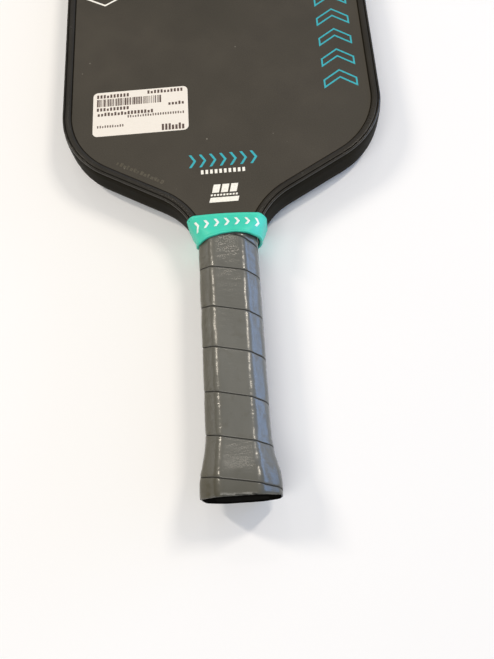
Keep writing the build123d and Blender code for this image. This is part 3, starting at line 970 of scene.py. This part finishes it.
def shrunk(corners, inset):
    """The loop moved in by inset on every side."""
    moved = []
    count = len(corners)
    for i in range(count):
        here = Vector(corners[i])
        before = (here - Vector(corners[i - 1])).normalized()
        after = (Vector(corners[(i + 1) % count]) - here).normalized()
        first, second = Vector((-before.y, before.x)), Vector((-after.y, after.x))
        mitre = (first + second).normalized()
        moved.append(tuple(here + mitre * (inset / mitre.dot(first))))
    return moved


def make_face_marks(teal_ink, white_ink, dark_ink):
    """Plain patterns where the front face is printed."""
    low, high = FACE_Z - INK_ROOT, FACE_Z + INK
    teal, white, dark = Marks(low, high), Marks(low, high), Marks(low, high)
    add_chevrons(teal)
    add_bars(white)
    add_shoulder_row(dark)
    teal.make("face_marks_teal", teal_ink, "face_sheet")
    white.make("face_marks_white", white_ink, "face_sheet")
    dark.make("face_marks_dark", dark_ink, "face_sheet")


def add_chevrons(marks):
    """A row of solid chevrons above the neck, and a column of outlined ones on the right."""
    for i in range(7):
        marks.block(chevron(x=-19.7 + 5.87 * i, y=185.2, width=4.2, height=8.6, arm=1.5))
    for i in range(9):
        y = 233.0 + 15.9 * i
        loop = chevron(x=62.6, y=y, width=13.4, height=20.1, arm=6.4, turned=True)
        marks.ring(loop, shrunk(loop, inset=1.0))


# Rows of bars on the front face, in millimetres: how many, the first one's lower left corner,
# the pitch, and each bar's width, height and slant
FACE_BARS = [
    (10, -13.0, 180.4, 2.64, 1.5, 2.7, 0.0),
    (3, -7.2, 167.6, 5.0, 3.9, 5.3, 1.2),
    (9, -8.0, 165.5, 1.75, 1.15, 1.1, 0.2),
    (1, -8.9, 161.4, 0.0, 16.2, 3.1, 0.8),
]


def add_bars(marks):
    """Rows of bars between the chevrons and the neck, and a wide angle on the upper left."""
    for count, x, y, pitch, width, height, slant in FACE_BARS:
        for i in range(count):
            marks.bar(x + pitch * i, y, width, height, slant)
    middle, half_width, rise, stroke = Vector((-70.4, 312.3)), 15.4, 8.9, 1.3
    lower = [(-half_width, rise), (0, 0), (half_width, rise)]
    upper = [(x, y + stroke) for x, y in reversed(lower)]
    marks.block([tuple(middle + Vector(corner)) for corner in lower + upper])


def add_shoulder_row(marks):
    """A row of faint blocks along the left shoulder, uneven in length and height."""
    along = Vector((math.cos(SHOULDER_ANGLE), -math.sin(SHOULDER_ANGLE)))
    across = Vector((-along.y, along.x))
    count, first, pitch = 14, Vector((-62.0, 191.6)), 2.25
    lengths, heights = (1.1, 1.7, 1.7), (1.8, 2.5)
    for i in range(count):
        start = first + along * pitch * i
        end = start + along * lengths[i % 3]
        rise = across * heights[i % 2]
        marks.block([tuple(c) for c in (start, end, end + rise, start + rise)])


# Rows of blocks on the sticker, in millimetres: left end, foot, right end, height, pitch, and
# the share of the pitch that a block fills
LABEL_ROWS = [
    (-74.0, 239.4, -53.8, 2.5, 2.0, 0.62),
    (-43.4, 240.2, -21.2, 2.4, 2.0, 0.62),
    (-74.0, 230.0, -53.8, 2.3, 2.0, 0.62),
    (-73.4, 226.3, -39.4, 2.5, 2.0, 0.62),
    (-55.4, 224.0, -20.5, 1.7, 1.5, 0.5),
    (-30.8, 230.7, -21.0, 2.4, 2.0, 0.62),
    (-73.6, 217.9, -57.2, 1.7, 1.5, 0.5),
    (-35.0, 212.9, -21.0, 4.4, 2.0, 0.66),
]
STRIPES_LEFT, STRIPES_RIGHT = -74.0, -35.0
STRIPES_FOOT, STRIPES_HEIGHT = 233.2, 5.4


def make_label_marks(label_ink):
    """Plain blocks and stripes on the sticker, drawn in one fixed random order."""
    marks = Marks(LABEL_Z - INK_ROOT, LABEL_Z + INK)
    draw = random.Random(4)
    for x, y, end, height, pitch, share in LABEL_ROWS:
        while x < end - pitch * share:
            drop = draw.choice((0, 0, 0.25)) * height
            marks.bar(x, y, pitch * share, height - drop)
            x += pitch
    x = STRIPES_LEFT
    while x < STRIPES_RIGHT:
        width = draw.choice((0.35, 0.35, 0.7, 0.7, 1.05))
        marks.bar(x, STRIPES_FOOT, width, STRIPES_HEIGHT)
        x += width + draw.choice((0.35, 0.35, 0.7))
    marks.make("label_marks", label_ink, "label")


# ------------------------ stage

# The floor's half size, where its slope starts, and how far it lies under the butt
FLOOR_HALF = 3.0
FLOOR_START_Y = 6 * MM
FLOOR_DROP = 0.45 * MM


def make_stage():
    """A plain pale floor under the paddle, which lies on its back rim and butt."""
    floor_material, tree, shader = new_material("floor_paper")
    tint = noise_at(tree, object_coordinates(tree), 6, 2)
    tree.links.new(
        blend_colours(tree, tint, (0.93, 0.945, 0.97, 1), (0.95, 0.96, 0.985, 1)),
        shader.inputs["Base Color"],
    )
    shader.inputs["Roughness"].default_value = 0.9
    shader.inputs["Specular IOR Level"].default_value = 0.1
    butt_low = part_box("grip_wrap")[0]
    rim_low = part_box("edge_guard")[0]
    tilt = math.atan2(rim_low.z - butt_low.z, TIP_Y - FLOOR_START_Y)
    mesh = bpy.data.meshes.new("floor")
    signs = [(-1, -1), (1, -1), (1, 1), (-1, 1)]
    mesh.from_pydata([(x * FLOOR_HALF, y * FLOOR_HALF, 0) for x, y in signs], [], [(0, 1, 2, 3)])
    mesh.materials.append(floor_material)
    floor = bpy.data.objects.new("floor", mesh)
    bpy.context.scene.collection.objects.link(floor)
    floor.location = (0, FLOOR_START_Y, butt_low.z - FLOOR_DROP)
    floor.rotation_euler = (tilt, 0, 0)


# Every light faces the middle of the handle
LIGHT_TARGET = Vector((0, 0.1, 0.0))
WARM, COOL, SOFT = (1.0, 0.9, 0.76), (0.3, 0.53, 1.0), (1.0, 0.97, 0.92)


def aimed_light(name, direction, distance, size, power, colour):
    """A rectangular light in a direction from the handle, facing it."""
    data = bpy.data.lights.new(name, "AREA")
    data.shape = "RECTANGLE"
    data.size, data.size_y = size
    data.energy = power
    data.color = colour
    light = bpy.data.objects.new(name, data)
    bpy.context.scene.collection.objects.link(light)
    outward = Vector(direction).normalized()
    light.location = LIGHT_TARGET + outward * distance
    light.rotation_euler = (-outward).to_track_quat("-Z", "Y").to_euler()


def make_room():
    """A room that is bright above, cool towards the right and brown towards the left."""
    world = bpy.data.worlds.new("room")
    world.use_nodes = True
    tree = world.node_tree
    where = node(tree, "ShaderNodeTexCoord").outputs["Generated"]
    axes = node(tree, "ShaderNodeSeparateXYZ", {"Vector": where}).outputs
    sideways = spread(tree, axes["X"], -0.7, 0.8, 0, 1)
    sides = blend_colours(tree, sideways, (0.09, 0.07, 0.04, 1), (0.4, 0.5, 0.7, 1))
    upwards = spread(tree, axes["Z"], 0.25, 0.85, 0, 1)
    room = blend_colours(tree, upwards, sides, (0.34, 0.33, 0.31, 1))
    tree.links.new(room, tree.nodes["Background"].inputs["Color"])
    tree.nodes["Background"].inputs["Strength"].default_value = 1.0
    bpy.context.scene.world = world


def make_lights():
    """Warm lamps overhead, a cool window to the right, and soft fill from behind the camera."""
    aimed_light("lamp_middle", (-0.058, 0.57, 0.82), 1.6, (0.1, 0.03), 0.6, WARM)
    aimed_light("lamp_left", (-0.62, 0.36, 0.70), 1.6, (0.1, 0.4), 7.5, WARM)
    aimed_light("lamp_right", (0.5, 0.36, 0.79), 1.6, (0.1, 0.4), 7.5, WARM)
    aimed_light("window", (0.95, 0.27, 0.14), 1.3, (0.9, 0.5), 6.5, COOL)
    aimed_light("fill", (-0.25, -0.5, 1.0), 1.6, (1.1, 0.8), 10, SOFT)


# The camera's place in metres, its turn in degrees, and its lens in millimetres
CAMERA_PLACE = (0.01795, -0.03199, 0.32344)
CAMERA_ANGLES = (20.1, 3.11, -3.37)
CAMERA_LENS = 35.5


def make_camera():
    """The camera stands over the butt and looks steeply down along the handle."""
    data = bpy.data.cameras.new("camera")
    data.lens = CAMERA_LENS
    data.sensor_width = 36.0
    camera = bpy.data.objects.new("camera", data)
    bpy.context.scene.collection.objects.link(camera)
    camera.location = CAMERA_PLACE
    camera.rotation_euler = [math.radians(angle) for angle in CAMERA_ANGLES]
    data.clip_start = 0.01
    bpy.context.scene.camera = camera


# ------------------------ the paddle

make_camera()
make_room()
make_lights()
make_stage()

FACE = face_sheet_material()
GUARD = guard_material("guard_lip", rgba(39, 36, 31), rgba(47, 44, 38), 0.22, 0.45)
# The wall's skin is a darker, browner copy of the lip's plastic: painted shade
GUARD_WALL_PAINTED_SHADE = guard_material("guard_wall_painted_shade", rgba(26, 23, 16), rgba(34, 30, 21), 0.5, 0.03)
GRIP = grip_material()
COLLAR = collar_material()
PAPER = paper_material()
WHITE_FOAM = moulded_material("foam", rgba(224, 220, 206), rgba(236, 232, 220), 0.8)
POLYMER = moulded_material("cells", rgba(215, 218, 220), rgba(230, 232, 234), 0.4)
SCRIM = moulded_material("scrim", rgba(205, 205, 198), rgba(222, 221, 214), 0.85, 2200)
TAPE = moulded_material("tape", rgba(215, 212, 200), rgba(228, 226, 216), 0.5)
PALLET = moulded_material("pallet", rgba(58, 58, 58), rgba(70, 70, 70), 0.5)
CAP = moulded_material("cap", rgba(12, 11, 10), rgba(18, 17, 15), 0.7, specular=0)
BADGE = moulded_material("badge", rgba(21, 20, 18), rgba(28, 27, 25), 0.6, specular=0)
VINYL = moulded_material("vinyl", rgba(24, 24, 24), rgba(34, 34, 34), 0.4)

NODE_MATERIALS = {
    "honeycomb_core": POLYMER,
    "perimeter_foam": WHITE_FOAM,
    "front_scrim": SCRIM,
    "back_scrim": SCRIM,
    "front_face": FACE,
    "back_face": FACE,
    "guard_tape": TAPE,
    "edge_guard": GUARD,
    "handle_pallet_front": PALLET,
    "handle_pallet_back": PALLET,
    "pallet_tape_front": TAPE,
    "pallet_tape_back": TAPE,
    "butt_cap": CAP,
    "butt_cap_staples": steel_material(),
    "butt_badge": BADGE,
    "grip_wrap": GRIP,
    "finishing_tape": VINYL,
    "neck_collar": COLLAR,
    "price_label": PAPER,
}
for name, material in NODE_MATERIALS.items():
    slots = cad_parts[name].data.materials
    slots.clear()
    slots.append(material)

TEAL_INK = ink_material("ink_teal", rgba(48, 176, 190), rgba(70, 110, 112))
WHITE_INK = ink_material("ink_white", rgba(250, 248, 240), rgba(190, 186, 178))
DARK_INK = ink_material("ink_dark", rgba(82, 77, 65), rgba(52, 48, 42), 0.3, 0.8)
LABEL_INK = ink_material("ink_label", rgba(82, 65, 59), rgba(120, 104, 98))
COLLAR_INK = ink_material("ink_collar", rgba(250, 252, 250), rgba(215, 240, 232))

make_edge_guard(GUARD, GUARD_WALL_PAINTED_SHADE)
HANDLE = HandleSection()
make_grip(GRIP, HANDLE)
make_finishing_tape(VINYL, HANDLE)
make_butt_cap(CAP, HANDLE)
make_collar(COLLAR)
make_collar_marks(COLLAR_INK)
make_face_marks(TEAL_INK, WHITE_INK, DARK_INK)
make_label_marks(LABEL_INK)

bpy.context.scene.view_settings.view_transform = "Standard"
